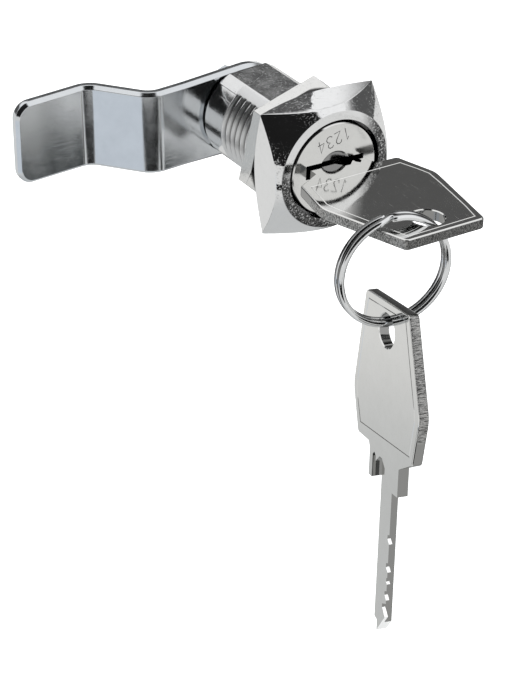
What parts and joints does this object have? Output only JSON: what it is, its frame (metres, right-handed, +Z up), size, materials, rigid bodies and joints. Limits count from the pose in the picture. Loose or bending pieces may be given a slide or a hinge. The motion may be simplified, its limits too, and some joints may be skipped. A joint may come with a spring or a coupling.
{
  "type": "cam lock",
  "caption": "Mailbox cam lock with a square faceted head, threaded double-D barrel, hex nut, cranked cam and flat keys on a split ring",
  "frame": {"origin": "on the lock's axis, in the plane of the back of the head, where the panel's front face lies", "axes": "+Y along the lock's axis into the cabinet, so the front faces -Y; +Z up; the cam points to -X"},
  "size_m": [0.0538, 0.0793, 0.0834],
  "materials": {
    "bright_chrome": "polished chrome on a zinc casting, satin on the barrel",
    "bright_nickel": "bright plated",
    "satin_nickel": "satin nickel plate with fine turning marks",
    "bright_zinc": "bright zinc-plated steel strip, lightly scratched",
    "key_nickel": "polished nickel on brass, rough sheared edges",
    "ring_steel": "polished steel wire",
    "wafer_brass": "stamped brass",
    "spring_steel": "spring steel"
  },
  "bodies": {
    "lock_case": {"housing": "bright_chrome"},
    "panel_nut_body": {"panel_nut": "bright_nickel"},
    "plug_group": {"plug": "satin_nickel", "stop_washer": "bright_zinc", "cam": "bright_zinc", "lock_washer": "bright_zinc", "cam_nut": "bright_zinc", "wafer_spring_1": "spring_steel", "wafer_spring_2": "spring_steel", "wafer_spring_3": "spring_steel", "wafer_spring_4": "spring_steel", "wafer_spring_5": "spring_steel", "wafer_spring_6": "spring_steel"},
    "key_body": {"key": "key_nickel"},
    "ring_body": {"key_ring": "ring_steel"},
    "spare_body": {"spare_key": "key_nickel"},
    "wafer_1_body": {"wafer_1": "wafer_brass"},
    "wafer_2_body": {"wafer_2": "wafer_brass"},
    "wafer_3_body": {"wafer_3": "wafer_brass"},
    "wafer_4_body": {"wafer_4": "wafer_brass"},
    "wafer_5_body": {"wafer_5": "wafer_brass"},
    "wafer_6_body": {"wafer_6": "wafer_brass"}
  },
  "joints": [
    {"name": "nut_travel", "type": "slide", "parent": "lock_case", "child": "panel_nut_body", "axis": [0, 1, 0], "range_m": [0, 0.01]},
    {"name": "plug_turn", "type": "hinge", "parent": "lock_case", "child": "plug_group", "pos_m": [0, 0, 0], "axis": [0, 1, 0], "range_deg": [0, 90]},
    {"name": "key_slide", "type": "slide", "parent": "plug_group", "child": "key_body", "axis": [0, -1, 0], "range_m": [0, 0.03]},
    {"name": "wafer_1_slide", "type": "slide", "parent": "plug_group", "child": "wafer_1_body", "axis": [0.9976, 0, -0.0698], "range_m": [0, 0.0008]},
    {"name": "wafer_2_slide", "type": "slide", "parent": "plug_group", "child": "wafer_2_body", "axis": [0.9976, 0, -0.0698], "range_m": [0, 0.0008]},
    {"name": "wafer_3_slide", "type": "slide", "parent": "plug_group", "child": "wafer_3_body", "axis": [0.9976, 0, -0.0698], "range_m": [0, 0.0008]},
    {"name": "wafer_4_slide", "type": "slide", "parent": "plug_group", "child": "wafer_4_body", "axis": [0.9976, 0, -0.0698], "range_m": [0, 0.0008]},
    {"name": "wafer_5_slide", "type": "slide", "parent": "plug_group", "child": "wafer_5_body", "axis": [0.9976, 0, -0.0698], "range_m": [0, 0.0008]},
    {"name": "wafer_6_slide", "type": "slide", "parent": "plug_group", "child": "wafer_6_body", "axis": [0.9976, 0, -0.0698], "range_m": [0, 0.0008]},
    {"name": "ring_swing", "type": "hinge", "parent": "key_body", "child": "ring_body", "pos_m": [-0.00495, -0.03198, 0.00055], "axis": [0.9856, -0.1543, -0.0689], "range_deg": [-16, 16]},
    {"name": "spare_swing", "type": "hinge", "parent": "ring_body", "child": "spare_body", "pos_m": [-0.00495, -0.03198, -0.01644], "axis": [0.988, -0.1547, 0], "range_deg": [-30, 30]}
  ],
  "couplings": [
    {"joint": "wafer_1_slide", "follows": "key_slide", "ratio": 0.026667},
    {"joint": "wafer_2_slide", "follows": "key_slide", "ratio": 0.026667},
    {"joint": "wafer_3_slide", "follows": "key_slide", "ratio": 0.026667},
    {"joint": "wafer_4_slide", "follows": "key_slide", "ratio": 0.026667},
    {"joint": "wafer_5_slide", "follows": "key_slide", "ratio": 0.026667},
    {"joint": "wafer_6_slide", "follows": "key_slide", "ratio": 0.026667}
  ]
}
